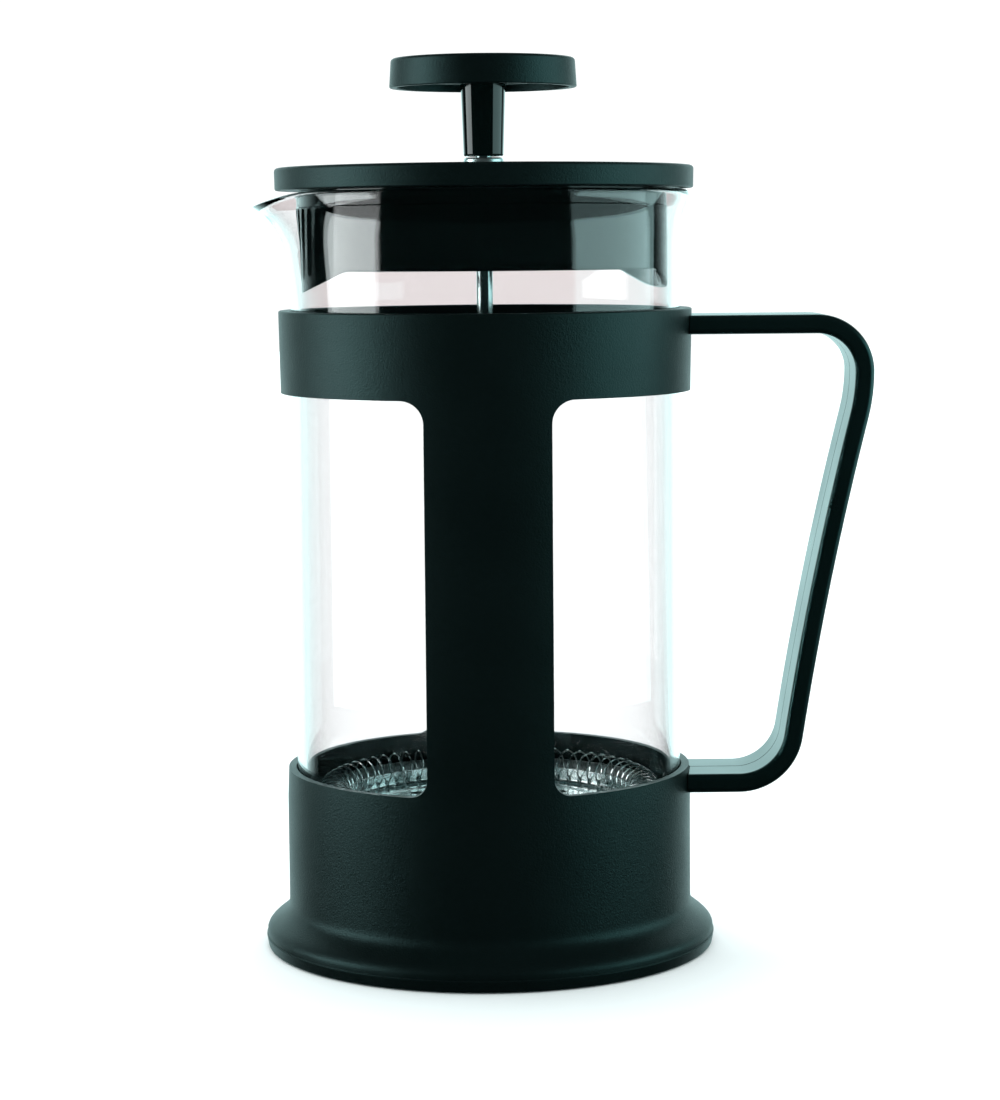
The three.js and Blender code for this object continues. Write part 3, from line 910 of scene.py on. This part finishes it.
class Sky:
    """Short hand for the world's node tree, which works on the direction looked in."""

    def __init__(self):
        world = bpy.data.worlds.new("studio")
        world.use_nodes = True
        bpy.context.scene.world = world
        self.tree = world.node_tree
        apart = self.add("ShaderNodeSeparateXYZ")
        self.link(self.add("ShaderNodeTexCoord").outputs["Generated"], apart.inputs[0])
        self.x, self.y, self.z = apart.outputs
        self.azimuth = self.math("ARCTAN2", self.x, self.math("MULTIPLY", self.y, -1))

    def add(self, kind):
        return self.tree.nodes.new(kind)

    def link(self, source, target):
        self.tree.links.new(source, target)

    def math(self, operation, *values):
        node = self.add("ShaderNodeMath")
        node.operation = operation
        for i, value in enumerate(values):
            if isinstance(value, (int, float)):
                node.inputs[i].default_value = value
            else:
                self.link(value, node.inputs[i])
        return node.outputs[0]

    def step(self, value, start, end, top=1.0):
        """A smooth rise from 0 to top as value goes from start to end."""
        node = self.add("ShaderNodeMapRange")
        node.interpolation_type = "SMOOTHSTEP"
        for name, number in (("From Min", start), ("From Max", end), ("To Min", 0.0), ("To Max", top)):
            node.inputs[name].default_value = number
        self.link(value, node.inputs["Value"])
        return node.outputs["Result"]

    def panel(self, azimuths, heights, edge, brightness):
        """A soft-edged rectangle of light. Azimuth 0 is the camera's side and 90 is +X, in degrees."""
        west, east = (math.radians(a) for a in azimuths)
        bottom, top = heights
        edge_angle = math.radians(edge)
        shape = self.step(self.azimuth, west, west + edge_angle, brightness)
        shape = self.math("MULTIPLY", shape, self.step(self.azimuth, east, east - edge_angle))
        shape = self.math("MULTIPLY", shape, self.step(self.z, bottom, bottom + 0.03))
        return self.math("MULTIPLY", shape, self.step(self.z, top, top - 0.2))


SKY_LEFT, SKY_RIGHT, SKY_BACK, SKY_FRONT = 4.8, 2.2, 1.9, 0.015
SKY_BACK_FROM, SKY_BACK_TO = 0.55, 0.95
SKY_INSIDE = 0.25  # seen by light that has bounced about inside the glass
SKY_DIRECT = 1.1
SOFTBOX_HEIGHTS, SOFTBOX_EDGE = (-0.75, 0.55), 2


def make_world():
    """White where it is seen directly or lights the floor, and brighter on the floor from behind.

    In reflections: two softboxes, a white wall behind the press, and the dark of the studio in front.
    """
    sky = Sky()
    left = sky.panel((-106, -66), SOFTBOX_HEIGHTS, SOFTBOX_EDGE, SKY_LEFT)
    right = sky.panel((53, 118), SOFTBOX_HEIGHTS, SOFTBOX_EDGE, SKY_RIGHT)
    back = sky.step(sky.y, SKY_BACK_FROM, SKY_BACK_TO, SKY_BACK)
    path = sky.add("ShaderNodeLightPath")
    inside = sky.math("MULTIPLY", sky.math("GREATER_THAN", path.outputs["Glossy Depth"], 1.5), SKY_INSIDE)
    rest = sky.math("ADD", inside, SKY_FRONT)
    lights = ((left, 0.88), (right, 0.62), (back, 0.68), (rest, 0.5))
    sums = []
    for red in (True, False):
        total = 0
        for light, redness in lights:
            total = sky.math("ADD", total, sky.math("MULTIPLY", light, redness if red else 1.0))
        sums.append(total)
    colour = sky.add("ShaderNodeCombineXYZ")
    for source, socket in zip((sums[0], sums[1], sums[1]), colour.inputs):
        sky.link(source, socket)
    direct = sky.math("LESS_THAN", path.outputs["Glossy Depth"], 0.5)
    dim = sky.add("ShaderNodeBackground")
    sky.link(colour.outputs[0], dim.inputs["Color"])
    white = sky.add("ShaderNodeBackground")
    white.inputs["Color"].default_value = (1, 1, 1, 1)
    behind = sky.math("ADD", sky.step(sky.y, -0.2, 0.8, 2.4), 0.05)
    lighting = sky.math("MULTIPLY", path.outputs["Is Diffuse Ray"], behind)
    sky.link(sky.math("ADD", SKY_DIRECT, lighting), white.inputs["Strength"])
    mix = sky.add("ShaderNodeMixShader")
    sky.link(direct, mix.inputs[0])
    sky.link(dim.outputs[0], mix.inputs[1])
    sky.link(white.outputs[0], mix.inputs[2])
    sky.link(mix.outputs[0], sky.tree.nodes["World Output"].inputs["Surface"])


def make_camera():
    """Level with the lid's skirt, and tipped down to the middle of the press. Its angles are in radians."""
    distance, aside, height, tilt, roll, yaw = 726.9, -6.3, 175.7, 0.1057, 0.0085, -0.0131
    lens = bpy.data.cameras.new("camera")
    lens.lens = 95.77
    lens.sensor_width = 36
    camera = bpy.data.objects.new("camera", lens)
    bpy.context.scene.collection.objects.link(camera)
    right = Vector((math.cos(yaw), math.sin(yaw), 0))
    level = Vector((-math.sin(yaw), math.cos(yaw), 0))
    forward = level * math.cos(tilt) - Vector((0, 0, 1)) * math.sin(tilt)
    up = level * math.sin(tilt) + Vector((0, 0, 1)) * math.cos(tilt)
    side = right * math.cos(roll) - up * math.sin(roll)
    above = up * math.cos(roll) + right * math.sin(roll)
    turn = Matrix((side, above, -forward)).transposed()
    camera.matrix_world = Matrix.Translation(Vector((aside, -distance, height)) * MM) @ turn.to_4x4()
    bpy.context.scene.camera = camera


# ---- assembly ----

make_camera()
make_frame()
make_handle()
make_beaker()
make_lid_cover()
make_lid_skirt()
make_lid_bush()
make_knob_cap()
make_knob_stem()
make_knob_insert()
make_rod()
make_nut("stop_nut", "rod_stop_nut")
make_spiral_plate()
make_coil_spring()
make_mesh_filter()
make_cross_plate()
make_nut("clamp_nut", "plunger_nut")
make_floor()
make_flag()
make_world()
bpy.context.scene.view_settings.view_transform = "Standard"
bpy.context.scene.view_settings.look = "None"
